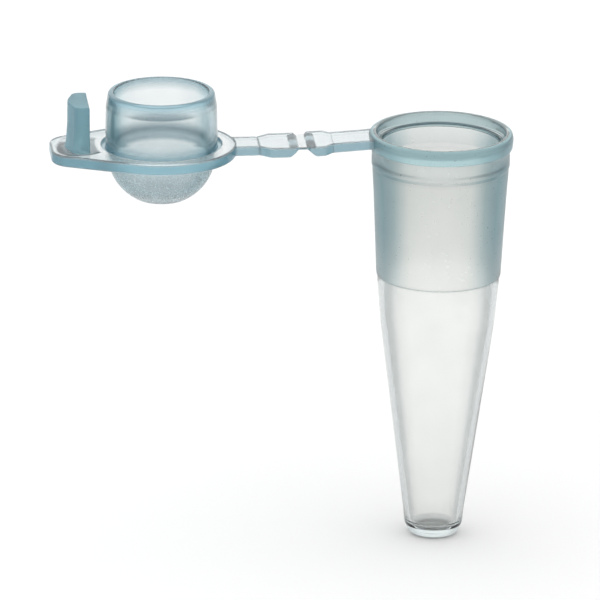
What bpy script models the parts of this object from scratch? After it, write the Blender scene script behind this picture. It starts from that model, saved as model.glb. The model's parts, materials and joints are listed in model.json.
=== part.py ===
"""A 0.2 ml thin-wall reaction tube, open, with a domed plug cap on a living-hinge strap.

The tube stands on +Z with its flat base at the origin. The strap and the cap lie towards -X.
Every functional member of the moulding is an object of its own. Lengths are in metres.
"""

import math

import bmesh
import bpy
from mathutils import Matrix, Vector

MM = 0.001

# Driving dimensions of the tube
TUBE_HEIGHT = 20.7 * MM
COLLAR_RADIUS = 3.55 * MM
COLLAR_HEIGHT = 0.75 * MM
LIP_HEIGHT = 0.46 * MM
MOUTH_RADIUS = 3.20 * MM
LAND_RADIUS = 2.87 * MM
LAND_DEPTH = 1.45 * MM
BORE_RADIUS = 2.80 * MM
BARREL_TOP_RADIUS = 3.39 * MM
BARREL_END_RADIUS = 3.05 * MM
BARREL_END_HEIGHT = 13.40 * MM
SHOULDER_RADIUS = 3.00 * MM
CONE_START_HEIGHT = 11.00 * MM
CONE_START_RADIUS = 2.81 * MM
CONE_END_HEIGHT = 1.30 * MM
CONE_END_RADIUS = 1.495 * MM
CONE_WALL = 0.27 * MM
BASE_FLAT_RADIUS = 0.95 * MM
BASE_THICKNESS = 0.45 * MM

# Driving dimensions of the strap, with reaches measured from the tube's axis when it is flat
HINGE_REACH = 6.86 * MM
STRAP_DROP = 0.15 * MM
STRAP_THICKNESS = 0.47 * MM
ARM_HALF_WIDTH = 1.03 * MM
PAD_HALF_WIDTH = 1.40 * MM
CAP_ARM_HALF_WIDTH = 0.92 * MM
WEB_HALF_WIDTH = 1.12 * MM
WEB_HALF_LENGTH = 0.23 * MM
WEB_THICKNESS = 0.10 * MM
WEB_RECESS = 0.05 * MM
ROOT_REACH = 3.62 * MM
CREASE_REACH = 8.99 * MM
CREASE_HALF_LENGTH = 0.05 * MM
FOLD_AXIS_RISE = 0.09 * MM

# Driving dimensions of the cap
FLANGE_RADIUS = 3.67 * MM
FLANGE_THICKNESS = 0.56 * MM
TAB_CORNER_RADIUS = 1.20 * MM
TAB_CORNER_REACH = 4.25 * MM
TAB_CORNER_OFFSET = 0.75 * MM
MOAT_RADIUS = 2.98 * MM
MOAT_DEPTH = 0.14 * MM
PLUG_RADIUS = 2.75 * MM
PLUG_BORE_RADIUS = 2.32 * MM
PLUG_HEIGHT = 2.68 * MM
PLUG_LIP_START = 1.96 * MM
DOME_RADIUS = 2.62 * MM
DOME_DEPTH = 2.20 * MM
DOME_FLOOR_RADIUS = 1.15 * MM
DOME_WALL = 0.38 * MM
PRONG_HEIGHT = 2.30 * MM
PRONG_HALF_WIDTH = 1.50 * MM
PRONG_INNER_REACH = 3.60 * MM
PRONG_OUTER_REACH = 4.70 * MM

# The pose it is stored in: the strap sags a little and the cap is twisted by a small angle
ARM_SAG = math.radians(4.4)
FOLD_AT_REST = math.radians(3.4)
FOLD_AXIS_TILT = math.radians(-0.29)

# How finely it is made
GAP = 0.02 * MM
WALL_GAP = 0.10 * MM
CREASE_GAP = 0.04 * MM
TURNED_STEPS = 48
ACROSS = 8
MERGE = 1e-7

TEAL = (0.55, 0.72, 0.76)
CLEAR = (0.90, 0.93, 0.92)


# ---------------------------------------------------------------- materials


def plastic(name, colour, roughness, transmission):
    """Polypropylene with the given tint and surface finish."""
    material = bpy.data.materials.new(name)
    material.use_nodes = True
    shader = material.node_tree.nodes["Principled BSDF"]
    shader.inputs["Base Color"].default_value = (*colour, 1.0)
    shader.inputs["Roughness"].default_value = roughness
    shader.inputs["Transmission Weight"].default_value = transmission
    shader.inputs["IOR"].default_value = 1.49
    material.diffuse_color = (*colour, 1.0)
    return material


# ---------------------------------------------------------------- shape helpers


def arc(centre, radius, start, end, steps):
    """Points on an arc in a profile plane, with angles in degrees from the outward direction."""
    angles = [math.radians(start + (end - start) * i / steps) for i in range(steps + 1)]
    return [(centre[0] + radius * math.cos(a), centre[1] + radius * math.sin(a)) for a in angles]


def finished(name, shape, material, parent):
    """The object made from a bmesh: normals outwards, smooth except at real edges."""
    bmesh.ops.remove_doubles(shape, verts=shape.verts, dist=MERGE)
    bmesh.ops.recalc_face_normals(shape, faces=shape.faces)
    mesh = bpy.data.meshes.new(name)
    shape.to_mesh(mesh)
    shape.free()
    mesh.shade_smooth()
    mesh.set_sharp_from_angle(angle=math.radians(32))
    mesh.materials.append(material)
    piece = bpy.data.objects.new(name, mesh)
    bpy.context.scene.collection.objects.link(piece)
    piece.parent = parent
    return piece


def turned(name, profile, material, parent, on_axis=False):
    """A closed solid turned about the local Z axis from (radius, height) points.

    The profile is a closed loop, or, with on_axis, runs from the axis back to the axis.
    """
    shape = bmesh.new()
    points = [shape.verts.new((radius, 0.0, height)) for radius, height in profile]
    edges = [shape.edges.new(pair) for pair in zip(points, points[1:])]
    if not on_axis:
        edges.append(shape.edges.new((points[-1], points[0])))
    bmesh.ops.spin(
        shape,
        geom=points + edges,
        cent=(0.0, 0.0, 0.0),
        axis=(0.0, 0.0, 1.0),
        angle=math.tau,
        steps=TURNED_STEPS,
        use_merge=True,
    )
    return finished(name, shape, material, parent)


def strap_section(reach, half_width, top, bottom, chamfer):
    """The strap's cross-section at one reach: its lower points, then its upper points."""
    c = min(chamfer, (top - bottom) / 3)
    inner = half_width - c
    across = [-half_width] + [inner * (2 * i / ACROSS - 1) for i in range(ACROSS + 1)] + [half_width]
    lower = [Vector((-reach, y, bottom + (c if abs(y) > inner else 0.0))) for y in across]
    upper = [Vector((-reach, y, top - (c if abs(y) > inner else 0.0))) for y in across]
    return lower, upper


def moved(sections, x, z):
    """The same cross-sections shifted along X and Z."""
    shift = Vector((x, 0.0, z))
    return [tuple([point + shift for point in side] for side in section) for section in sections]


def bowed(section, shift_at):
    """A cross-section whose points move along X by shift_at(y), to follow a round wall."""
    return tuple([point + Vector((shift_at(point.y), 0.0, 0.0)) for point in side] for side in section)


def strap_solid(name, sections, material, parent):
    """A closed solid through the strap's cross-sections."""
    shape = bmesh.new()
    rows = [tuple([shape.verts.new(p) for p in side] for side in section) for section in sections]
    rings = [lower + upper[::-1] for lower, upper in rows]
    for near, far in zip(rings, rings[1:]):
        for i in range(len(near)):
            after = (i + 1) % len(near)
            shape.faces.new((near[i], near[after], far[after], far[i]))
    for lower, upper in (rows[0], rows[-1]):
        for i in range(len(lower) - 1):
            shape.faces.new((lower[i], lower[i + 1], upper[i + 1], upper[i]))
    return finished(name, shape, material, parent)


def lofted(name, outlines, material, parent):
    """A closed solid through outlines that all have the same number of points."""
    shape = bmesh.new()
    rings = [[shape.verts.new(point) for point in outline] for outline in outlines]
    for near, far in zip(rings, rings[1:]):
        for i in range(len(near)):
            after = (i + 1) % len(near)
            shape.faces.new((near[i], near[after], far[after], far[i]))
    shape.faces.new(rings[0])
    shape.faces.new(rings[-1])
    return finished(name, shape, material, parent)


def frame_empty(name, parent, matrix):
    """An empty that holds a moving body's place, with its origin on the body's joint axis."""
    empty = bpy.data.objects.new(name, None)
    empty.empty_display_size = 0.5 * MM
    bpy.context.scene.collection.objects.link(empty)
    empty.parent = parent
    empty.matrix_basis = matrix
    return empty


# ---------------------------------------------------------------- the tube


def make_tube(frosted, clear):
    """The seven members of the tube, from the lip down to the flat base."""
    top = TUBE_HEIGHT
    collar_foot = top - COLLAR_HEIGHT
    lip_foot = top - LIP_HEIGHT
    land_foot = top - LAND_DEPTH
    lip_round, mouth_round = 0.20 * MM, 0.07 * MM
    crown = arc((COLLAR_RADIUS - lip_round, top - lip_round), lip_round, 0, 90, 4)
    brow = arc((MOUTH_RADIUS + mouth_round, top - mouth_round), mouth_round, 90, 180, 3)
    funnel = [(LAND_RADIUS + 0.05 * MM, lip_foot + 0.10 * MM), (LAND_RADIUS, lip_foot)]
    turned("rim_lip", [(COLLAR_RADIUS - 0.01 * MM, lip_foot)] + crown + brow + funnel, frosted, None)

    collar_top, chamfer = lip_foot - GAP, 0.03 * MM
    outer = COLLAR_RADIUS - 0.03 * MM
    turned(
        "rim_collar",
        [
            (LAND_RADIUS, collar_foot + GAP),
            (BARREL_TOP_RADIUS + GAP, collar_foot),
            (outer - chamfer, collar_foot),
            (outer, collar_foot + chamfer),
            (COLLAR_RADIUS - 0.01 * MM, collar_top),
            (LAND_RADIUS, collar_top),
        ],
        frosted,
        None,
    )

    step_foot = land_foot - 0.28 * MM
    turned(
        "sealing_land",
        [
            (BORE_RADIUS, step_foot),
            (BARREL_TOP_RADIUS - 0.03 * MM, step_foot),
            (BARREL_TOP_RADIUS, land_foot),
            (BARREL_TOP_RADIUS, collar_foot - GAP),
            (LAND_RADIUS, collar_foot - GAP),
            (LAND_RADIUS, land_foot),
            (BORE_RADIUS, land_foot - 0.16 * MM),
        ],
        frosted,
        None,
    )

    barrel_top = step_foot - GAP
    inner_end = BARREL_END_RADIUS - 0.36 * MM
    turned(
        "frosted_barrel",
        [
            (inner_end, BARREL_END_HEIGHT),
            (BARREL_END_RADIUS - 0.03 * MM, BARREL_END_HEIGHT),
            (BARREL_END_RADIUS, BARREL_END_HEIGHT + 0.10 * MM),
            (BARREL_END_RADIUS + 0.13 * MM, BARREL_END_HEIGHT + 2.6 * MM),
            (BARREL_END_RADIUS + 0.22 * MM, BARREL_END_HEIGHT + 4.2 * MM),
            (BARREL_TOP_RADIUS - 0.03 * MM, barrel_top),
            (BORE_RADIUS, barrel_top),
        ],
        frosted,
        None,
    )

    shoulder = []
    shoulder_top = BARREL_END_HEIGHT - GAP
    for i in range(7):
        share = i / 6
        height = CONE_START_HEIGHT + (shoulder_top - CONE_START_HEIGHT) * share
        bulge = 0.052 * MM * math.sin(math.pi * share)
        radius = CONE_START_RADIUS + (SHOULDER_RADIUS - CONE_START_RADIUS) * share + bulge
        shoulder.append((radius, height))
    inside = [(radius - CONE_WALL, height) for radius, height in reversed(shoulder)]
    turned("barrel_shoulder", shoulder + inside, clear, None)

    cone = [(CONE_START_RADIUS, CONE_START_HEIGHT - GAP), (CONE_END_RADIUS, CONE_END_HEIGHT)]
    inner_cone = [(radius - CONE_WALL, height) for radius, height in reversed(cone)]
    turned("clear_cone", cone[::-1] + inner_cone[::-1], clear, None)

    corner = 0.62 * MM
    wall_top = (CONE_END_RADIUS, CONE_END_HEIGHT - GAP)
    heel = arc((BASE_FLAT_RADIUS, corner), corner, -90, -8, 6)
    heel = [(min(x, CONE_END_RADIUS - 0.02 * MM), y) for x, y in heel]
    well = 0.55 * MM
    well_round = arc((CONE_END_RADIUS - CONE_WALL - well, BASE_THICKNESS + well), well, 0, -90, 5)
    turned(
        "cone_base",
        [(0.0, 0.0)] + heel + [wall_top, (wall_top[0] - CONE_WALL, wall_top[1])]
        + well_round + [(0.0, BASE_THICKNESS)],
        clear,
        None,
        on_axis=True,
    )


# ---------------------------------------------------------------- the strap


def pad_sections(start, end, arch_at_end, arm_half_width):
    """Cross-sections of a hinge pad: it widens from the arm, and its underside arches to the web."""
    length = end - start
    arch = 0.45 * MM
    plain = (length - arch) / length
    shares = [0.0, 0.16, 0.34, 0.5, plain, plain + 0.25 * (1 - plain)]
    shares += [plain + 0.5 * (1 - plain), plain + 0.75 * (1 - plain), 1.0]
    sections = []
    for share in shares:
        widened = min(share / 0.34, 1.0)
        widened = widened * widened * (3 - 2 * widened)
        half_width = arm_half_width + (PAD_HALF_WIDTH - arm_half_width) * widened
        risen = max(0.0, (share - plain) / (1 - plain))
        lift = (STRAP_THICKNESS - WEB_THICKNESS - WEB_RECESS) * (1 - math.cos(math.pi * risen)) / 2
        half_width -= 0.10 * MM * risen
        at = share if arch_at_end else 1 - share
        sections.append(
            strap_section(start + length * at, half_width, 0.0, lift - STRAP_THICKNESS, 0.05 * MM)
        )
    return sections


def make_arm(body, strap):
    """The tube's half of the strap: a straight arm and the first hinge pad."""
    wall = COLLAR_RADIUS + WALL_GAP
    end = 5.35 * MM
    reaches = [wall, 3.9 * MM, 4.6 * MM, end]
    arm = [strap_section(r, ARM_HALF_WIDTH, 0.0, -STRAP_THICKNESS, 0.05 * MM) for r in reaches]
    arm[0] = bowed(arm[0], lambda y: wall - math.sqrt(wall * wall - y * y))
    strap_solid("strap_arm", moved(arm, ROOT_REACH, STRAP_THICKNESS / 2), strap, body)
    pad = pad_sections(end + GAP, HINGE_REACH - WEB_HALF_LENGTH - GAP, True, ARM_HALF_WIDTH)
    strap_solid("hinge_pad_tube_side", moved(pad, ROOT_REACH, STRAP_THICKNESS / 2), strap, body)


def make_web(body, strap):
    """The thin living hinge between the two pads. Its origin is on the fold axis."""
    top = -WEB_RECESS - FOLD_AXIS_RISE
    reaches = [-WEB_HALF_LENGTH, 0.0, WEB_HALF_LENGTH]
    web = [strap_section(r, WEB_HALF_WIDTH, top, top - WEB_THICKNESS, 0.02 * MM) for r in reaches]
    strap_solid("hinge_web", web, strap, body)


def make_leaf(body, strap):
    """The cap's half of the hinge: the second pad, up to the crease."""
    start = HINGE_REACH + WEB_HALF_LENGTH + GAP
    end = CREASE_REACH - CREASE_HALF_LENGTH - CREASE_GAP
    pad = pad_sections(start, end, False, CAP_ARM_HALF_WIDTH)
    strap_solid("hinge_pad_cap_side", moved(pad, HINGE_REACH, -FOLD_AXIS_RISE), strap, body)


def make_crease(body, strap):
    """The thicker second flex line. Its origin is on the crease axis, at mid thickness."""
    top = STRAP_THICKNESS / 2 - 0.06 * MM
    bottom = 0.04 * MM - STRAP_THICKNESS / 2
    half_width = CAP_ARM_HALF_WIDTH - 0.03 * MM
    reaches = [-CREASE_HALF_LENGTH, CREASE_HALF_LENGTH]
    web = [strap_section(r, half_width, top, bottom, 0.02 * MM) for r in reaches]
    strap_solid("crease_web", web, strap, body)


# ---------------------------------------------------------------- the cap


def make_cap(body, tinted, strap):
    """The cap's members, in a frame whose origin is the centre of its sealing face."""
    underside = -FLANGE_THICKNESS
    edge = FLANGE_RADIUS + GAP
    start = 2 * HINGE_REACH - CREASE_REACH - CREASE_HALF_LENGTH - CREASE_GAP
    arm = [
        strap_section(-x, CAP_ARM_HALF_WIDTH, 0.0, -STRAP_THICKNESS, 0.05 * MM)
        for x in (start, (start + edge) / 2, edge)
    ]
    arm[2] = bowed(arm[2], lambda y: math.sqrt(edge * edge - y * y) - edge)
    strap_solid("cap_strap_end", arm, strap, body)

    rim_round = 0.10 * MM
    top_edge = arc((FLANGE_RADIUS - rim_round, -rim_round), rim_round, 0, 90, 3)
    low_edge = arc((FLANGE_RADIUS - rim_round, underside + rim_round), rim_round, -90, 0, 3)
    turned(
        "cap_flange",
        [(MOAT_RADIUS + GAP, underside)] + low_edge + top_edge + [(MOAT_RADIUS + GAP, 0.0)],
        tinted,
        body,
    )
    make_tab(body, tinted)
    make_prong(body, tinted)

    moat_floor = -MOAT_DEPTH
    turned(
        "plug_root",
        [
            (PLUG_BORE_RADIUS, underside),
            (MOAT_RADIUS, underside),
            (MOAT_RADIUS, moat_floor + 0.04 * MM),
            (MOAT_RADIUS - 0.04 * MM, moat_floor),
            (PLUG_BORE_RADIUS, moat_floor),
        ],
        tinted,
        body,
    )
    draft = 0.03 * MM
    turned(
        "plug_wall",
        [
            (PLUG_BORE_RADIUS, moat_floor + GAP),
            (PLUG_RADIUS - draft, moat_floor + GAP),
            (PLUG_RADIUS, 0.55 * MM),
            (PLUG_RADIUS - draft, PLUG_LIP_START),
            (PLUG_BORE_RADIUS, PLUG_LIP_START),
        ],
        tinted,
        body,
    )
    nose = PLUG_RADIUS - draft - 0.12 * MM
    crown_width = 0.10 * MM
    crown_round = nose - PLUG_BORE_RADIUS - crown_width
    outside = arc((nose - crown_round, PLUG_HEIGHT - crown_round), crown_round, 0, 90, 5)
    inside = arc((PLUG_BORE_RADIUS + crown_width, PLUG_HEIGHT - crown_width), crown_width, 90, 180, 3)
    turned(
        "plug_lip",
        [(PLUG_BORE_RADIUS, PLUG_LIP_START + GAP), (PLUG_RADIUS - draft, PLUG_LIP_START + GAP)]
        + outside + inside,
        tinted,
        body,
    )
    make_dome(body, tinted)


def dome_profile(radius, depth, steps, floor_radius):
    """Points down a flattened bowl from its mouth to the edge of its floor."""
    last = math.acos(floor_radius / radius)
    points = []
    for i in range(steps + 1):
        angle = last * i / steps
        points.append((radius * math.cos(angle), -depth * math.sin(angle) / math.sin(last)))
    return points


def make_dome(body, tinted):
    """The bowl under the flange, in two members: its wall, and its flat floor."""
    mouth = -FLANGE_THICKNESS - GAP
    outer = dome_profile(DOME_RADIUS, DOME_DEPTH, 8, DOME_FLOOR_RADIUS)
    inner = dome_profile(
        DOME_RADIUS - DOME_WALL, DOME_DEPTH - DOME_WALL, 8, DOME_FLOOR_RADIUS - 0.05 * MM
    )
    outer = [(radius, mouth + height) for radius, height in outer]
    inner = [(radius, mouth + height) for radius, height in inner]
    turned("dome_wall", outer + inner[::-1], tinted, body)
    floor, lift = mouth - DOME_DEPTH, 0.03 * MM
    edge = DOME_FLOOR_RADIUS - 0.05 * MM - GAP
    turned(
        "dome_floor",
        [(0.0, floor), (edge, floor), (edge, floor + DOME_WALL - lift), (0.0, floor + DOME_WALL - lift)],
        tinted,
        body,
        on_axis=True,
    )


def make_tab(body, tinted):
    """The thumb tab: the blunt tongue that a finger lifts, clear of the round flange."""
    away = math.hypot(TAB_CORNER_REACH, TAB_CORNER_OFFSET)
    leave = math.atan2(TAB_CORNER_OFFSET, -TAB_CORNER_REACH)
    leave -= math.acos((FLANGE_RADIUS - TAB_CORNER_RADIUS) / away)
    edge = FLANGE_RADIUS + GAP
    open_angle = math.pi - leave - math.radians(9)
    notch = [open_angle * (2 * i / 14 - 1) for i in range(15)]
    soft = 0.10 * MM
    levels = [(-FLANGE_THICKNESS, soft), (soft - FLANGE_THICKNESS, 0.0), (-soft, 0.0), (0.0, soft)]
    outlines = []
    for height, inset in levels:
        radius = TAB_CORNER_RADIUS - inset
        corner = [
            (-TAB_CORNER_REACH + radius * math.cos(a), TAB_CORNER_OFFSET + radius * math.sin(a))
            for a in (leave + (math.pi - leave) * i / 7 for i in range(8))
        ]
        tip = [(x, -y) for x, y in corner] + corner[::-1]
        inner = [(-edge * math.cos(t), -edge * math.sin(t)) for t in notch]
        outlines.append([Vector((x, y, height)) for x, y in tip + inner])
    lofted("thumb_tab", outlines, tinted, body)


def prong_outline(inset, narrower):
    """The prong's plan: a flat inner face, rounded outer corners, and an outer face that bulges."""
    half_width = PRONG_HALF_WIDTH * narrower - inset
    inner = PRONG_INNER_REACH + inset
    outer = PRONG_OUTER_REACH - inset - 0.10 * MM * (1 - narrower) / 0.07
    bulge, corner = 0.22 * MM, 0.40 * MM
    side = [(-inner, half_width)]
    for k in range(5):
        turn = math.pi / 8 * k
        x = bulge + corner - corner * math.sin(turn) - outer
        side.append((x, half_width - corner + corner * math.cos(turn)))
    middle = [(bulge * share * share - outer, share * (half_width - corner)) for share in (0.6, 0.3, 0.0)]
    half = side + middle
    return half + [(x, -y) for x, y in reversed(half[:-1])]


def make_prong(body, tinted):
    """The upright prong on the tab: a broad fin, curved in plan, with a flat top."""
    soft = 0.08 * MM
    levels = [
        (GAP, 0.0, 1.0),
        (1.20 * MM, 0.0, 0.95),
        (PRONG_HEIGHT - soft, 0.0, 0.93),
        (PRONG_HEIGHT, soft, 0.93),
    ]
    outlines = []
    for height, inset, narrower in levels:
        outlines.append([Vector((x, y, height)) for x, y in prong_outline(inset, narrower)])
    lofted("tab_prong", outlines, tinted, body)


# ---------------------------------------------------------------- assembly


def main():
    for old in list(bpy.data.objects):
        bpy.data.objects.remove(old)
    frosted = plastic("frosted_polypropylene", TEAL, 0.45, 0.75)
    clear = plastic("clear_polypropylene", CLEAR, 0.12, 0.9)
    tinted = plastic("cap_polypropylene", TEAL, 0.30, 0.75)
    strap = plastic("strap_polypropylene", TEAL, 0.28, 0.75)

    make_tube(frosted, clear)

    strap_top = TUBE_HEIGHT - STRAP_DROP
    root_place = Vector((-ROOT_REACH, 0.0, strap_top - STRAP_THICKNESS / 2))
    arm_frame = frame_empty(
        "root_flex_axis", None, Matrix.Translation(root_place) @ Matrix.Rotation(-ARM_SAG, 4, "Y")
    )
    make_arm(arm_frame, strap)

    fold_place = Vector((ROOT_REACH - HINGE_REACH, 0.0, STRAP_THICKNESS / 2 + FOLD_AXIS_RISE))
    fold_axis = Vector((0.0, math.cos(FOLD_AXIS_TILT), math.sin(FOLD_AXIS_TILT)))
    place = Matrix.Translation(fold_place)
    half_fold = Matrix.Rotation(FOLD_AT_REST / 2, 4, fold_axis)
    web_frame = frame_empty(
        "hinge_web_frame", arm_frame, place @ half_fold @ Matrix.Rotation(FOLD_AXIS_TILT, 4, "X")
    )
    make_web(web_frame, strap)
    leaf_frame = frame_empty(
        "fold_axis",
        arm_frame,
        place
        @ Matrix.Rotation(FOLD_AT_REST, 4, fold_axis)
        @ Matrix.Rotation(2 * FOLD_AXIS_TILT, 4, "X"),
    )
    make_leaf(leaf_frame, strap)

    crease_place = Vector((HINGE_REACH - CREASE_REACH, 0.0, -FOLD_AXIS_RISE - STRAP_THICKNESS / 2))
    crease_frame = frame_empty("crease_axis", leaf_frame, Matrix.Translation(crease_place))
    make_crease(crease_frame, strap)
    cap_place = Vector((CREASE_REACH - 2 * HINGE_REACH, 0.0, STRAP_THICKNESS / 2))
    cap_frame = frame_empty("cap_frame", crease_frame, Matrix.Translation(cap_place))
    make_cap(cap_frame, tinted, strap)


main()
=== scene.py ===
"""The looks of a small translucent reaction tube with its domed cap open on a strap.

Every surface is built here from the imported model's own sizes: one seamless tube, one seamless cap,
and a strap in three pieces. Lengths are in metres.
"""

import json
import math

import bpy
from mathutils import Matrix, Vector


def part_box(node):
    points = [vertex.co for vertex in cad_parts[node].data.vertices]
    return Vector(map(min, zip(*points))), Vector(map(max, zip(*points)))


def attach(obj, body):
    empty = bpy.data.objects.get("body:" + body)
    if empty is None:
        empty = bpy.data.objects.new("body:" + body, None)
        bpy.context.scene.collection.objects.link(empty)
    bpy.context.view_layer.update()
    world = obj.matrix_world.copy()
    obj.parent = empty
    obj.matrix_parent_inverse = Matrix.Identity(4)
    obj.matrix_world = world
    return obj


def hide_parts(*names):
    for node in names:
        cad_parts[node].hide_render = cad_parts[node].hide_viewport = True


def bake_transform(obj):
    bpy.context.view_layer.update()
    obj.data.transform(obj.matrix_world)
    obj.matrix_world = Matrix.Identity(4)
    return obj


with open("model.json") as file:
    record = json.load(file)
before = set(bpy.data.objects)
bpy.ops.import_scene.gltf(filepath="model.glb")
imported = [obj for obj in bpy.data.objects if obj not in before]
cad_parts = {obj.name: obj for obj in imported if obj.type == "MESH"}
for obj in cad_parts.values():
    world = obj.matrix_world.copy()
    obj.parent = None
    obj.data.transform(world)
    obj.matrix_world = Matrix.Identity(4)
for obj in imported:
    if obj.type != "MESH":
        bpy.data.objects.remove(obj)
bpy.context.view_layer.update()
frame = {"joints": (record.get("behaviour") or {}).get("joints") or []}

MM = 0.001
TURN = 160
JOINTS = {joint["name"]: joint for joint in frame["joints"]}

# ---------------------------------------------------------------- sizes, from the frame

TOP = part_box("rim_lip")[1].z
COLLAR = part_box("rim_lip")[1].x
COLLAR_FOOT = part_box("rim_collar")[0].z
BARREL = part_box("sealing_land")[1].x
STEP_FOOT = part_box("sealing_land")[0].z
FROST_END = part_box("frosted_barrel")[0].z
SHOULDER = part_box("barrel_shoulder")[1].x
CONE_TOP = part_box("barrel_shoulder")[0].z
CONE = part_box("clear_cone")[1].x
BASE_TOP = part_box("clear_cone")[0].z
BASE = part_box("cone_base")[1].x

MOUTH = COLLAR - 0.35 * MM
LAND = 2.87 * MM
BORE = 2.80 * MM
WALL = 0.27 * MM

# The strap, with reaches measured from the tube's axis when it is flat
ROOT_REACH = -JOINTS["strap_root_flex"]["pos_m"][0]
HINGE_REACH = 6.86 * MM
CREASE_REACH = 8.99 * MM
THICK = 0.47 * MM
WEB_THICK = 0.10 * MM
AXIS_RISE = 0.09 * MM
ARM_SAG = math.radians(4.4)
FOLD_AT_REST = math.radians(3.4)
FOLD_TILT = math.radians(-0.29)

# The cap, in a frame with its origin at the centre of the sealing face
FLANGE = 3.67 * MM
FLANGE_THICK = 0.56 * MM
TAB_CORNER = 1.20 * MM
TAB_REACH = 4.25 * MM
TAB_OFFSET = 0.75 * MM
MOAT = 2.98 * MM
PLUG = 2.75 * MM
PLUG_BORE = 2.32 * MM
PLUG_HEIGHT = 2.68 * MM
DOME = 2.62 * MM
DOME_DEPTH = 2.20 * MM
DOME_WALL = 0.38 * MM
PRONG_HEIGHT = 2.30 * MM
PRONG_WIDTH = 1.50 * MM
PRONG_INNER = 3.60 * MM
PRONG_OUTER = 4.70 * MM


# ---------------------------------------------------------------- materials

REFRACTION = 1.49
CORNER_SHADE = (0.08, 0.13, 0.15, 1.0)


class Nodes:
    """A short way to write a node tree."""

    def __init__(self, tree):
        self.tree = tree

    def add(self, kind, inputs=(), **settings):
        node = self.tree.nodes.new(kind)
        for name, value in settings.items():
            setattr(node, name, value)
        for key, value in dict(inputs).items():
            if isinstance(value, bpy.types.NodeSocket):
                self.tree.links.new(value, node.inputs[key])
            else:
                node.inputs[key].default_value = value
        return node

    def noise(self, vector, scale, detail=2.0):
        node = self.add("ShaderNodeTexNoise", {"Vector": vector, "Scale": scale, "Detail": detail})
        return node.outputs["Fac"]

    def spread(self, value, low, high, start=0.0, end=1.0):
        inputs = {"Value": value, "From Min": start, "From Max": end, "To Min": low, "To Max": high}
        return self.add("ShaderNodeMapRange", inputs).outputs["Result"]

    def mix(self, share, first, second, blend="MIX"):
        node = self.add("ShaderNodeMix", data_type="RGBA", blend_type=blend)
        for key, value in ((0, share), (6, first), (7, second)):
            if isinstance(value, bpy.types.NodeSocket):
                self.tree.links.new(value, node.inputs[key])
            else:
                node.inputs[key].default_value = value
        return node.outputs[2]

    def math(self, operation, first, second=0.0):
        return self.add("ShaderNodeMath", {0: first, 1: second}, operation=operation).outputs[0]


def slant_tint(nodes, facing, stops):
    """A colour that follows how far a surface turns from the eye: stops are (slant, colour)."""
    ramp = nodes.add("ShaderNodeValToRGB", {"Fac": facing})
    elements = ramp.color_ramp.elements
    while len(elements) < len(stops):
        elements.new(0.5)
    for element, (slant, colour) in zip(elements, stops):
        element.position = slant
        element.color = (*colour, 1.0)
    return ramp.outputs["Color"]


def polypropylene(name, plain, toned, smooth, rough, see_toned, absorb, density, shade_tint, grit):
    """Moulded polypropylene: tinted through its depth, and darker where its walls stand aslant.

    plain and toned are its slant tints without and with the tone attribute, and see_toned is how
    much light goes straight through where the tone is full. smooth and rough are its roughness
    without and with the frost attribute, and grit is how deep its surface grain is. The level
    attribute marks flat tops, which keep their face-on tint, and shade is painted shade that darkens
    inner corners. teal is painted teal shade, in the colour dye, on sides, rims and edges, and it
    also makes them milky.
    """
    material = bpy.data.materials.new(name)
    material.use_nodes = True
    nodes = Nodes(material.node_tree)
    shader = material.node_tree.nodes["Principled BSDF"]
    place = nodes.add("ShaderNodeTexCoord").outputs["Object"]
    in_mm = nodes.add("ShaderNodeVectorMath", {0: place, 3: 1000.0}, operation="SCALE").outputs[0]
    marks = {
        mark: nodes.add("ShaderNodeAttribute", attribute_name=mark).outputs["Fac"]
        for mark in ("frost", "tone", "level", "shade", "teal")
    }
    flow = nodes.noise(in_mm, 0.45, 2.0)
    grain = nodes.noise(in_mm, 9.0, 4.0)

    facing = nodes.add("ShaderNodeLayerWeight", {"Blend": 0.5}).outputs["Facing"]
    upright = nodes.spread(marks["level"], 1.0, 0.0, 0.55, 0.95)
    slant = nodes.math("MULTIPLY", facing, upright)
    tint = nodes.mix(
        marks["tone"], slant_tint(nodes, slant, plain), slant_tint(nodes, slant, toned)
    )
    streak = nodes.spread(flow, 0.975, 1.02, 0.3, 0.7)
    streaks = nodes.add("ShaderNodeCombineColor", {0: streak, 1: streak, 2: streak}).outputs[0]
    # Painted shade: darker toward CORNER_SHADE where shade is marked, and multiplied by the teal shade
    # colour where teal is marked.
    dim = nodes.mix(marks["shade"], streaks, CORNER_SHADE)
    shade_tinted = nodes.mix(marks["teal"], dim, (*shade_tint, 1.0), "MULTIPLY")
    colour = nodes.mix(1.0, tint, shade_tinted, "MULTIPLY")
    material.node_tree.links.new(colour, shader.inputs["Base Color"])

    even = nodes.spread(marks["frost"], smooth, rough)
    speckle = nodes.spread(grain, 0.85, 1.15, 0.3, 0.7)
    material.node_tree.links.new(nodes.math("MULTIPLY", even, speckle), shader.inputs["Roughness"])

    if grit:
        relief = {"Strength": grit, "Distance": 0.002 * MM, "Height": grain}
        bump = nodes.add("ShaderNodeBump", relief)
        material.node_tree.links.new(bump.outputs["Normal"], shader.inputs["Normal"])

    milky = nodes.spread(marks["teal"], 1.0, 0.5)
    see = nodes.math("MULTIPLY", nodes.spread(marks["tone"], 1.0, see_toned), milky)
    material.node_tree.links.new(see, shader.inputs["Transmission Weight"])
    shader.inputs["IOR"].default_value = REFRACTION
    inside = nodes.add("ShaderNodeVolumeAbsorption", {"Color": (*absorb, 1.0), "Density": density})
    output = material.node_tree.nodes["Material Output"]
    material.node_tree.links.new(inside.outputs["Volume"], output.inputs["Volume"])
    return material


# ---------------------------------------------------------------- mesh helpers


def eased(value, start, end):
    """0 before start, 1 after end, and smooth between."""
    share = min(max((value - start) / (end - start), 0.0), 1.0)
    return share * share * (3 - 2 * share)


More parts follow.
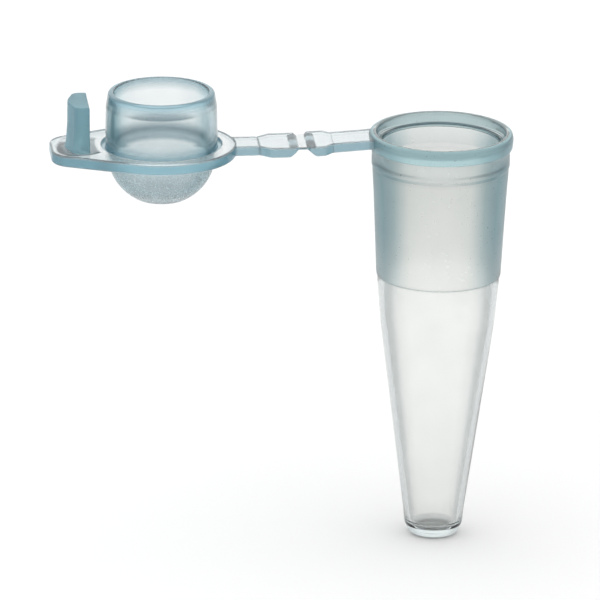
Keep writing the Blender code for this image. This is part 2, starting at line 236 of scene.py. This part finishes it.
def filleted(corners, steps=6):
    """A profile with its corners rounded. Each corner is (radius from the axis, height, fillet)."""
    points = []
    for i, (x, z, fillet) in enumerate(corners):
        here = Vector((x, z))
        if fillet == 0 or i in (0, len(corners) - 1):
            points.append((x, z))
            continue
        back = Vector(corners[i - 1][:2]) - here
        ahead = Vector(corners[i + 1][:2]) - here
        half = back.angle(ahead) / 2
        reach = min(fillet / math.tan(half), 0.48 * back.length, 0.48 * ahead.length)
        radius = reach * math.tan(half)
        back.normalize()
        ahead.normalize()
        centre = here + (back + ahead).normalized() * (radius / math.sin(half))
        first = here + back * reach - centre
        last = here + ahead * reach - centre
        turn = first.angle_signed(last)
        points.append(tuple(here + back * reach * 1.12))
        for k in range(steps + 1):
            spun = Matrix.Rotation(-turn * k / steps, 2) @ first
            points.append(tuple(centre + spun))
        points.append(tuple(here + ahead * reach * 1.12))
    return points


def circle(radius, height):
    """A ring of points round the local Z axis, or one point when the radius is nothing."""
    if radius < 1e-7:
        return [Vector((0.0, 0.0, height))]
    angles = [math.tau * k / TURN for k in range(TURN)]
    return [Vector((radius * math.cos(a), radius * math.sin(a), height)) for a in angles]


def skin(name, rings, material, **marks):
    """A closed surface through rings of points. A ring of one point is a pole.

    Each of the marks holds one value for each ring, which the material reads by its name.
    """
    points = [p for ring in rings for p in ring]
    starts = [0]
    for ring in rings:
        starts.append(starts[-1] + len(ring))
    faces = []
    for i in range(len(rings) - 1):
        j = i + 1
        count = max(len(rings[i]), len(rings[j]))
        for k in range(count):
            after = (k + 1) % count
            near = [starts[i] + k, starts[i] + after] if len(rings[i]) > 1 else [starts[i]]
            far = [starts[j] + after, starts[j] + k] if len(rings[j]) > 1 else [starts[j]]
            faces.append(near + far)
    mesh = bpy.data.meshes.new(name)
    mesh.from_pydata(points, [], faces)
    mesh.shade_smooth()
    for mark, values in marks.items():
        spread = [value for ring, value in zip(rings, values) for _ in ring]
        mesh.attributes.new(mark, "FLOAT", "POINT").data.foreach_set("value", spread)
    mesh.materials.append(material)
    piece = bpy.data.objects.new(name, mesh)
    bpy.context.scene.collection.objects.link(piece)
    outward(mesh)
    return piece


def outward(mesh):
    """Turns every face of a closed mesh outwards."""
    mesh.calc_loop_triangles()
    volume = 0.0
    for triangle in mesh.loop_triangles:
        a, b, c = (mesh.vertices[v].co for v in triangle.vertices)
        volume += a.dot(b.cross(c))
    if volume < 0:
        mesh.flip_normals()


def mark_level(mesh):
    """Marks how nearly each point of the mesh faces straight up or down."""
    level = [abs(normal.vector.z) for normal in mesh.vertex_normals]
    mesh.attributes.new("level", "FLOAT", "POINT").data.foreach_set("value", level)


def mark_cap(mesh):
    """Marks the prong, the flange, the dome, the moat and the plug, in the cap's frame."""
    names = ("tone", "frost", "shade", "teal")
    marks = {name: [] for name in names}
    for vertex, normal in zip(mesh.vertices, mesh.vertex_normals):
        radius, height = math.hypot(vertex.co.x, vertex.co.y), vertex.co.z
        upright = 1 - abs(normal.vector.z)
        values = (0.0, 0.0, 0.0, 0.0)
        # The last two values are painted shade: shade in the bowl's deep end and the moat, and teal shade
        # on the flange's sides, the bowl, the moat and the plug's crown and foot.
        if height > 0.03 * MM and radius > PLUG + 0.4 * MM:
            values = (1.0, 1.0, 0.0, 0.0)
        elif radius > MOAT + 0.4 * MM and height < 0.01 * MM:
            values = (0.25 * upright, 0.3 * upright, 0.0, 0.15 + 0.85 * upright)
        elif height < -FLANGE_THICK - 0.02 * MM:
            deep = eased(-height, 2.35 * MM, 2.50 * MM)
            values = (0.10, 0.5, 0.12 * deep, 0.14 + 0.2 * deep)
        elif PLUG - 0.03 * MM < radius < MOAT + 0.01 * MM and -0.2 * MM < height < -0.02 * MM:
            values = (0.2, 0.0, 0.12, 0.8)
        elif radius < MOAT and height > -0.1 * MM:
            outer = vertex.co.x * normal.vector.x + vertex.co.y * normal.vector.y > -0.3 * radius
            crown = eased(height, PLUG_HEIGHT - 0.35 * MM, PLUG_HEIGHT - 0.15 * MM)
            foot = 1 - eased(height, 0.1 * MM, 0.6 * MM)
            values = (0.0, 0.1, 0.0, max(0.85 * crown, 0.35 * foot, 0.08) if outer else 0.0)
        for name, value in zip(names, values):
            marks[name].append(value)
    for name in names:
        mesh.attributes.new(name, "FLOAT", "POINT").data.foreach_set("value", marks[name])


def joined(piece, *others):
    """piece with the other closed meshes made one with it."""
    for other in others:
        union = piece.modifiers.new("union", "BOOLEAN")
        union.operation = "UNION"
        union.solver = "EXACT"
        union.object = other
        bake(piece)
        bpy.data.objects.remove(other)
    return piece


def bake(piece):
    """Makes the modifiers' result the piece's own mesh."""
    bpy.context.view_layer.update()
    graph = bpy.context.evaluated_depsgraph_get()
    mesh = bpy.data.meshes.new_from_object(piece.evaluated_get(graph))
    piece.modifiers.clear()
    piece.data = mesh


# ---------------------------------------------------------------- the tube


def ring_marks(height, outer):
    """The (frost, tone, shade, teal) marks of the tube's wall at that height, outside or inside."""
    barrel = eased(height, FROST_END - 0.08 * MM, FROST_END + 0.08 * MM)
    lower = 0.65 + 0.35 * eased(height, FROST_END, FROST_END + 3 * MM)
    tone = barrel * lower * (1 - 0.5 * eased(height, STEP_FOOT + 0.2 * MM, COLLAR_FOOT))
    # Painted shade: the floor of the bore, a ring at the foot of the mouth's funnel, and faint bands at
    # the step and at the frost's edge.
    dark = 0.0
    if not outer and height < 0.60 * MM:
        dark = 0.30
    elif not outer and TOP - 0.55 * MM < height < TOP - 0.42 * MM:
        dark = 1.0
    elif outer and abs(height - STEP_FOOT) < 0.20 * MM:
        dark = 0.15
    elif outer and abs(height - FROST_END) < 0.06 * MM:
        dark = 0.18
    # Painted teal shade: strong on the outside of the collar and lip, faint from the step up to the
    # collar, and very faint inside the mouth.
    rim = eased(height, COLLAR_FOOT - 0.04 * MM, COLLAR_FOOT + 0.04 * MM)
    step = 0.1 * eased(height, STEP_FOOT - 0.05 * MM, STEP_FOOT + 0.05 * MM)
    teal = max(0.85 * rim, step) if outer else 0.04 * rim
    return (barrel if outer else 0.0), tone, dark, teal


def make_tube(material):
    """The whole tube as one wall: lip, collar, frosted barrel, clear cone and thick base."""
    outside = [
        (0.0, 0.0, 0),
        (0.80 * BASE, 0.0, 0.45 * MM),
        (0.955 * BASE, 0.60 * MM, 0.5 * MM),
        (BASE, BASE_TOP, 0),
        (CONE, CONE_TOP, 1.5 * MM),
        (SHOULDER - 0.02 * MM, FROST_END - 0.5 * MM, 0.8 * MM),
        (SHOULDER, FROST_END - 0.14 * MM, 0),
        (SHOULDER, FROST_END - 0.02 * MM, 0.02 * MM),
        (SHOULDER + 0.05 * MM, FROST_END + 0.04 * MM, 0.02 * MM),
        (SHOULDER + 0.06 * MM, FROST_END + 0.16 * MM, 0),
        (SHOULDER + 0.18 * MM, FROST_END + 2.6 * MM, 1.5 * MM),
        (BARREL - 0.12 * MM, FROST_END + 4.3 * MM, 1.0 * MM),
        (BARREL - 0.05 * MM, STEP_FOOT - 0.26 * MM, 0),
        (BARREL - 0.05 * MM, STEP_FOOT - 0.06 * MM, 0.05 * MM),
        (BARREL, STEP_FOOT + 0.10 * MM, 0.05 * MM),
        (BARREL, STEP_FOOT + 0.26 * MM, 0),
        (BARREL, COLLAR_FOOT, 0.04 * MM),
        (COLLAR - 0.04 * MM, COLLAR_FOOT, 0.06 * MM),
        (COLLAR, TOP - 0.30 * MM, 0.2 * MM),
        (COLLAR - 0.06 * MM, TOP, 0.17 * MM),
    ]
    inside = [
        (MOUTH, TOP, 0.09 * MM),
        (MOUTH - 0.08 * MM, TOP - 0.22 * MM, 0.12 * MM),
        (LAND + 0.08 * MM, TOP - 0.40 * MM, 0),
        (LAND + 0.04 * MM, TOP - 0.44 * MM, 0.01 * MM),
        (LAND - 0.01 * MM, TOP - 0.53 * MM, 0.01 * MM),
        (LAND - 0.01 * MM, TOP - 0.57 * MM, 0),
        (LAND, TOP - 1.45 * MM, 0.05 * MM),
        (BORE, TOP - 1.62 * MM, 0.05 * MM),
        (SHOULDER - 0.30 * MM, FROST_END, 0.8 * MM),
        (CONE - WALL, CONE_TOP, 1.5 * MM),
        (BASE - WALL, BASE_TOP, 0),
        (0.90 * (BASE - WALL), 0.45 * MM, 0.62 * MM),
        (0.0, 0.45 * MM, 0),
    ]
    profile = filleted(outside + inside)
    rings = [circle(radius, height) for radius, height in profile]
    turning = profile.index(max(profile, key=lambda point: point[1]))
    marks = [ring_marks(height, i <= turning) for i, (_, height) in enumerate(profile)]
    frost, tone, shade, teal = zip(*marks)
    tube = skin("tube", rings, material, frost=frost, tone=tone, shade=shade, teal=teal)
    mark_level(tube.data)
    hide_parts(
        "rim_lip",
        "rim_collar",
        "sealing_land",
        "frosted_barrel",
        "barrel_shoulder",
        "clear_cone",
        "cone_base",
    )
    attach(tube, "tube")


# ---------------------------------------------------------------- the strap


def turned_about(axis, angle):
    """A turn about an axis through the origin."""
    return Matrix.Rotation(angle, 4, axis)


ARM_FRAME = Matrix.Translation(JOINTS["strap_root_flex"]["pos_m"]) @ turned_about("Y", -ARM_SAG)
FOLD_PLACE = Matrix.Translation((ROOT_REACH - HINGE_REACH, 0.0, THICK / 2 + AXIS_RISE))
FOLD_AXIS = Vector((0.0, math.cos(FOLD_TILT), math.sin(FOLD_TILT)))


def leaf_frame(share):
    """The strap's frame at the fold axis, with that share of the fold and its twist taken up."""
    fold = turned_about(FOLD_AXIS, FOLD_AT_REST * share)
    return ARM_FRAME @ FOLD_PLACE @ fold @ turned_about("X", 2 * FOLD_TILT * share)


CAP_FRAME = leaf_frame(1.0) @ Matrix.Translation((-HINGE_REACH, 0.0, -AXIS_RISE))


def strap_shape(reach):
    """(half width, top, bottom) of the strap at that reach, from its top plane."""
    arm, pad, web, cap_arm = 1.03 * MM, 1.40 * MM, 1.13 * MM, 0.92 * MM
    web_start, web_end = HINGE_REACH - 0.23 * MM, HINGE_REACH + 0.23 * MM
    side = abs(reach - HINGE_REACH)
    into_web = 1 - eased(side, 0.18 * MM, 0.68 * MM)
    if reach < HINGE_REACH:
        plain = arm + (pad - arm) * eased(reach, 5.35 * MM, 5.85 * MM)
    else:
        plain = cap_arm + (pad - 0.03 * MM - cap_arm) * (1 - eased(reach, 8.30 * MM, 9.02 * MM))
    width = plain + (web - plain) * (1 - eased(side, 0.19 * MM, 0.36 * MM))
    dip = 0.05 * MM * (1 - eased(side, 0.22 * MM, 0.30 * MM))
    bottom = -THICK + (THICK - WEB_THICK - 0.05 * MM) * into_web
    crease = 0.06 * MM * (1 - eased(abs(reach - CREASE_REACH), 0.0, 0.07 * MM))
    return width, -dip - crease * 0.6, bottom + crease * 0.4


def strap_ring(reach, wall=None):
    """The strap's section at that reach, in the row frame. wall(y) bends it to a round wall."""
    width, top, bottom = strap_shape(reach)
    soft = min(0.07 * MM, (top - bottom) / 3)
    across = [(width - soft) * (2 * k / 12 - 1) for k in range(13)]
    corner = [math.radians(a) for a in (22.5, 45.0, 67.5)]
    outline = [(y, bottom) for y in across]
    outline += [(width - soft + soft * math.sin(a), bottom + soft - soft * math.cos(a)) for a in corner]
    outline += [(width, bottom + soft), (width, top - soft)]
    outline += [(width - soft + soft * math.cos(a), top - soft + soft * math.sin(a)) for a in corner]
    outline += [(y, top) for y in reversed(across)]
    outline += [(-width + soft - soft * math.sin(a), top - soft + soft * math.cos(a)) for a in corner]
    outline += [(-width, top - soft), (-width, bottom + soft)]
    outline += [(-width + soft - soft * math.cos(a), bottom + soft - soft * math.sin(a)) for a in corner]
    share = eased(reach, HINGE_REACH - 0.23 * MM, HINGE_REACH + 0.23 * MM)
    base = leaf_frame(share)
    ring = []
    for y, z in outline:
        x = wall(y) if wall else reach
        ring.append(base @ Vector((HINGE_REACH - x, y, z - AXIS_RISE)))
    return ring


def mark_strap(mesh, reaches):
    """Marks painted shade on the strap: teal shade all over and most on its sides, and a little shade on
    its sides and its web, from the reach and the normal of each point.
    """
    teal, shade = [], []
    for reach, normal in zip(reaches, mesh.vertex_normals):
        side = 1 - min(abs(normal.vector.z) / 0.7, 1.0)
        web = 1 - eased(abs(reach - HINGE_REACH), 0.20 * MM, 0.34 * MM)
        teal.append(max(0.85 * side, 0.12))
        shade.append(max(0.05 * web, 0.12 * side))
    for mark, values in (("teal", teal), ("shade", shade)):
        mesh.attributes.new(mark, "FLOAT", "POINT").data.foreach_set("value", values)


def strap_piece(name, start, end, material, nodes, wall=None):
    """One length of the strap, with wall() shaping one of its ends."""
    steps = max(8, round((end - start) / (0.04 * MM)))
    along = [start + (end - start) * k / steps for k in range(steps + 1)]
    rings = [strap_ring(reach) for reach in along]
    if wall:
        at_start = wall(0.0) < (start + end) / 2
        rings[0 if at_start else -1] = strap_ring(start if at_start else end, wall)
    count = len(rings[0])
    points = [p for ring in rings for p in ring]
    faces = []
    for i in range(steps):
        for k in range(count):
            after = (k + 1) % count
            row, ahead = i * count, (i + 1) * count
            faces.append([row + k, row + after, ahead + after, ahead + k])
    for row, ring in ((0, rings[0]), (steps * count, rings[-1])):
        points.append(sum(ring, Vector()) / count)
        faces += [[row + k, row + (k + 1) % count, len(points) - 1] for k in range(count)]
    mesh = bpy.data.meshes.new(name)
    mesh.from_pydata(points, [], faces)
    mesh.shade_smooth()
    mesh.set_sharp_from_angle(angle=math.radians(50))
    mesh.materials.append(material)
    mark_level(mesh)
    mark_strap(mesh, [reach for reach in along for _ in range(count)] + [start, end])
    piece = bpy.data.objects.new(name, mesh)
    bpy.context.scene.collection.objects.link(piece)
    outward(mesh)
    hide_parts(*nodes)
    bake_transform(piece)


# ---------------------------------------------------------------- the cap


def tab_outline(inset, height):
    """A ring round the flange and its blunt thumb tab, inside their edge by that inset."""
    flange, corner = FLANGE - inset, TAB_CORNER - inset
    leave = math.atan2(TAB_OFFSET, -TAB_REACH)
    leave -= math.acos((flange - corner) / math.hypot(TAB_REACH, TAB_OFFSET))
    last = Vector((-TAB_REACH + corner * math.cos(leave), TAB_OFFSET + corner * math.sin(leave)))
    ring = []
    for k in range(TURN):
        angle = math.tau * k / TURN
        away = abs(math.pi - angle)
        along = Vector((-math.cos(away), math.sin(away)))
        if math.pi - away <= leave:
            radius = flange
        elif away > math.atan2(last.y, -last.x):
            radius = flange / math.cos(math.pi - away - leave)
        elif along.y * (TAB_REACH + corner) > TAB_OFFSET * -along.x:
            middle = Vector((-TAB_REACH, TAB_OFFSET))
            near = middle.dot(along)
            radius = near + math.sqrt(corner * corner - middle.length_squared + near * near)
        else:
            radius = (TAB_REACH + corner) / math.cos(away)
        ring.append(Vector((radius * math.cos(angle), radius * math.sin(angle), height)))
    return ring


def bowl(radius, depth, mouth, floor, steps):
    """(radius, height) points down a flattened bowl from its mouth to the edge of its floor."""
    last = math.acos(floor / radius)
    angles = [last * k / steps for k in range(steps + 1)]
    return [
        (radius * math.cos(a), mouth - depth * math.sin(a) / math.sin(last)) for a in angles
    ]


def make_cap(material):
    """The whole cap as one wall: flange and tab, moat, plug and dome, with the prong on the tab."""
    under = -FLANGE_THICK
    floor = 1.15 * MM
    outer = bowl(DOME, DOME_DEPTH, under, floor, 20)
    inner = bowl(DOME - DOME_WALL, DOME_DEPTH - DOME_WALL, under, floor - 0.12 * MM, 20)
    rings = [circle(0.0, outer[-1][1])]
    floor_edge = filleted([(0, outer[-1][1], 0), (*outer[-1], 0.3 * MM), (*outer[-2], 0)], 4)
    rings += [circle(r, z) for r, z in floor_edge[1:-1]]
    rings += [circle(r, z) for r, z in outer[-2::-1]]
    soft = 0.12 * MM
    rings += [circle(DOME + 0.12 * MM, under), circle(MOAT, under)]
    for share in (0.5, 0.96):
        rings.append([a.lerp(b, share) for a, b in zip(circle(MOAT, under), tab_outline(soft, under))])
    quarter = [math.radians(90 * k / 6) for k in range(7)]
    rings += [tab_outline(soft - soft * math.sin(a), under + soft - soft * math.cos(a)) for a in quarter]
    rings += [tab_outline(soft - soft * math.cos(a), soft * math.sin(a) - soft) for a in quarter]
    for share in (0.04, 0.5):
        rings.append([a.lerp(b, share) for a, b in zip(tab_outline(soft, 0.0), circle(MOAT, 0.0))])
    plug = [
        (MOAT + 0.15 * MM, 0.0, 0),
        (MOAT, 0.0, 0.03 * MM),
        (MOAT - 0.03 * MM, -0.15 * MM, 0.04 * MM),
        (PLUG - 0.02 * MM, -0.15 * MM, 0.05 * MM),
        (PLUG, 0.60 * MM, 0.5 * MM),
        (PLUG - 0.03 * MM, 1.96 * MM, 0.5 * MM),
        (PLUG - 0.15 * MM, PLUG_HEIGHT, 0.18 * MM),
        (PLUG_BORE, PLUG_HEIGHT, 0.10 * MM),
        (PLUG_BORE, 0.30 * MM, 0.5 * MM),
        (DOME - DOME_WALL, under, 0),
    ]
    rings += [circle(r, z) for r, z in filleted(plug)]
    rings += [circle(r, z) for r, z in inner[1:]]
    rings.append(circle(0.0, inner[-1][1]))
    cap = skin("cap", rings, material)
    cap = joined(cap, make_prong(material))
    cap.data.set_sharp_from_angle(angle=math.radians(40))
    mark_level(cap.data)
    mark_cap(cap.data)
    cap.data.transform(CAP_FRAME)
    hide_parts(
        "cap_flange",
        "thumb_tab",
        "tab_prong",
        "plug_root",
        "plug_wall",
        "plug_lip",
        "dome_wall",
        "dome_floor",
    )
    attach(cap, "cap")


def prong_ring(height, inset, narrower):
    """The prong's plan at a height: a flat inner face, round corners and a bulging outer face."""
    half = PRONG_WIDTH * narrower
    outer = PRONG_OUTER - 0.10 * MM * (1 - narrower) / 0.07
    bulge, corner, small = 0.22 * MM, 0.42 * MM, 0.10 * MM
    side = [Vector((-PRONG_INNER, half * k / 8)) for k in range(8)]
    for k in range(7):
        turn = math.pi / 2 * k / 6
        x = -PRONG_INNER - small + small * math.cos(turn)
        side.append(Vector((x, half - small + small * math.sin(turn))))
    for k in range(13):
        turn = math.pi / 2 * k / 12
        x = bulge + corner - corner * math.sin(turn) - outer
        side.append(Vector((x, half - corner + corner * math.cos(turn))))
    for k in range(1, 11):
        share = 1 - k / 10
        side.append(Vector((bulge * share * share - outer, share * (half - corner))))
    outline = side + [Vector((p.x, -p.y)) for p in reversed(side[1:-1])]
    middle = Vector((-(PRONG_INNER + outer) / 2, 0.0))
    ring = []
    for p in outline:
        away = p - middle
        q = middle + away * (1 - inset / max(away.length, 0.3 * MM))
        ring.append(Vector((q.x, q.y, height)))
    return ring


def make_prong(material):
    """The upright prong: a broad fin, curved in plan, with a softened flat top and foot."""
    rings = []
    for k in range(41):
        height = -0.20 * MM + (PRONG_HEIGHT + 0.20 * MM) * k / 40
        up = max(height, 0.0) / PRONG_HEIGHT
        narrower = 1.0 - 0.05 * min(up * 2, 1.0) - 0.02 * up
        flare = 0.06 * MM * (1 - eased(height, 0.0, 0.15 * MM))
        rings.append(prong_ring(min(height, PRONG_HEIGHT - 0.09 * MM), -flare, narrower))
    for k in range(1, 7):
        a = math.pi / 2 * k / 6
        soft = 0.09 * MM
        rings.append(prong_ring(PRONG_HEIGHT - soft + soft * math.sin(a), soft - soft * math.cos(a), 0.93))
    top = rings[-1]
    middle = sum(top, Vector()) / len(top)
    rings.append([p.lerp(middle, 0.5) for p in top])
    rings.append([middle])
    foot = rings[0]
    rings.insert(0, [sum(foot, Vector()) / len(foot)])
    return skin("prong", rings, material)


# ---------------------------------------------------------------- the stage


def make_stage():
    """A plain pale floor, soft light from all round, and one broad lamp."""
    mesh = bpy.data.meshes.new("floor")
    reach, low = 3.0, -0.02 * MM
    corners = [(-1, -1), (1, -1), (1, 1), (-1, 1)]
    mesh.from_pydata([(x * reach, y * reach, low) for x, y in corners], [], [(0, 1, 2, 3)])
    floor = bpy.data.objects.new("floor", mesh)
    bpy.context.scene.collection.objects.link(floor)
    material = bpy.data.materials.new("floor")
    material.use_nodes = True
    nodes = Nodes(material.node_tree)
    shader = material.node_tree.nodes["Principled BSDF"]
    place = nodes.add("ShaderNodeTexCoord").outputs["Object"]
    colour = nodes.mix(nodes.noise(place, 40.0), (0.93, 0.93, 0.93, 1), (0.95, 0.95, 0.95, 1))
    material.node_tree.links.new(colour, shader.inputs["Base Color"])
    shader.inputs["Roughness"].default_value = 1.0
    shader.inputs["Specular IOR Level"].default_value = 0.0
    mesh.materials.append(material)

    world = bpy.data.worlds.new("studio")
    world.use_nodes = True
    background = world.node_tree.nodes["Background"]
    background.inputs["Color"].default_value = (1.0, 1.0, 1.0, 1.0)
    background.inputs["Strength"].default_value = 1.06
    bpy.context.scene.world = world

    lamp = bpy.data.lights.new("soft_box", "AREA")
    lamp.size = 0.6
    lamp.energy = 0.2
    soft_box = bpy.data.objects.new("soft_box", lamp)
    soft_box.location = (-0.15, 0.10, 0.35)
    soft_box.rotation_euler = (-soft_box.location).to_track_quat("-Z", "Y").to_euler()
    bpy.context.scene.collection.objects.link(soft_box)


def make_camera():
    """A long lens, above and a little to the left of the object's front.

    mouth_right and mouth_up are how far the tube's mouth stands from the middle of the view.
    """
    azimuth, elevation, roll = math.radians(-5.0), math.radians(18.03), math.radians(1.06)
    lens, distance = 960.0, 783.5455 * MM
    mouth_right, mouth_up = 6.766 * MM, 8.388 * MM
    right = Vector((math.cos(azimuth), math.sin(azimuth), 0.0))
    back = Vector(
        (
            math.sin(azimuth) * math.cos(elevation),
            -math.cos(azimuth) * math.cos(elevation),
            math.sin(elevation),
        )
    )
    up = back.cross(right)
    mouth = Vector((0.0, 0.0, TOP))
    aim = mouth - right * mouth_right - up * mouth_up
    camera = bpy.data.cameras.new("camera")
    camera.sensor_width = 36.0
    camera.lens = lens
    camera.clip_start, camera.clip_end = 0.01, 20.0
    holder = bpy.data.objects.new("camera", camera)
    turned = Matrix((right, up, back)).transposed().to_4x4()
    holder.matrix_world = (
        Matrix.Translation(aim + back * distance) @ turned @ Matrix.Rotation(roll, 4, "Z")
    )
    bpy.context.scene.collection.objects.link(holder)
    bpy.context.scene.camera = holder


# ---------------------------------------------------------------- making it all


def main():
    """Builds the tube, the cap and the strap, and the stage that they stand on."""
    clear = [
        (0.0, (0.94, 0.94, 0.925)),
        (0.20, (0.92, 0.92, 0.905)),
        (0.36, (0.83, 0.835, 0.825)),
        (0.56, (0.50, 0.52, 0.52)),
        (1.0, (0.50, 0.55, 0.56)),
    ]
    frosted = [
        (0.0, (0.95, 0.945, 0.925)),
        (0.17, (0.87, 0.88, 0.855)),
        (0.32, (0.45, 0.57, 0.59)),
        (0.52, (0.15, 0.31, 0.36)),
        (1.0, (0.18, 0.35, 0.40)),
    ]
    thin = [
        (0.0, (0.98, 0.982, 0.975)),
        (0.30, (0.91, 0.94, 0.94)),
        (0.55, (0.58, 0.75, 0.79)),
        (1.0, (0.42, 0.66, 0.72)),
    ]
    solid = [(0.0, (0.25, 0.48, 0.55)), (0.5, (0.20, 0.42, 0.50)), (1.0, (0.18, 0.40, 0.48))]
    body = polypropylene(
        "body_polypropylene",
        plain=clear,
        toned=frosted,
        smooth=0.04,
        rough=0.32,
        see_toned=0.80,
        absorb=(0.60, 0.76, 0.79),
        density=200.0,
        # The colour of the painted teal shade on sides, rims and edges.
        shade_tint=(0.42, 0.72, 0.79),
        grit=0.0,
    )
    cap = polypropylene(
        "cap_polypropylene",
        plain=thin,
        toned=solid,
        smooth=0.12,
        rough=0.45,
        see_toned=0.55,
        absorb=(0.46, 0.62, 0.66),
        density=330.0,
        # The colour of the painted teal shade on sides, rims and edges.
        shade_tint=(0.28, 0.55, 0.66),
        grit=0.025,
    )
    make_tube(body)
    make_cap(cap)
    strap_piece(
        "strap_root",
        COLLAR - 0.10 * MM,
        5.36 * MM,
        cap,
        ["strap_arm"],
        wall=lambda y: math.sqrt((COLLAR - 0.08 * MM) ** 2 - y * y),
    )
    strap_piece(
        "strap_hinge",
        5.36 * MM,
        8.95 * MM,
        cap,
        ["hinge_pad_tube_side", "hinge_web", "hinge_pad_cap_side"],
    )
    strap_piece(
        "strap_cap_end",
        8.95 * MM,
        2 * HINGE_REACH - FLANGE + 0.05 * MM,
        cap,
        ["crease_web", "cap_strap_end"],
        wall=lambda y: 2 * HINGE_REACH - math.sqrt((FLANGE - 0.05 * MM) ** 2 - y * y),
    )
    make_stage()
    make_camera()


bpy.context.scene.view_settings.view_transform = "Standard"
main()
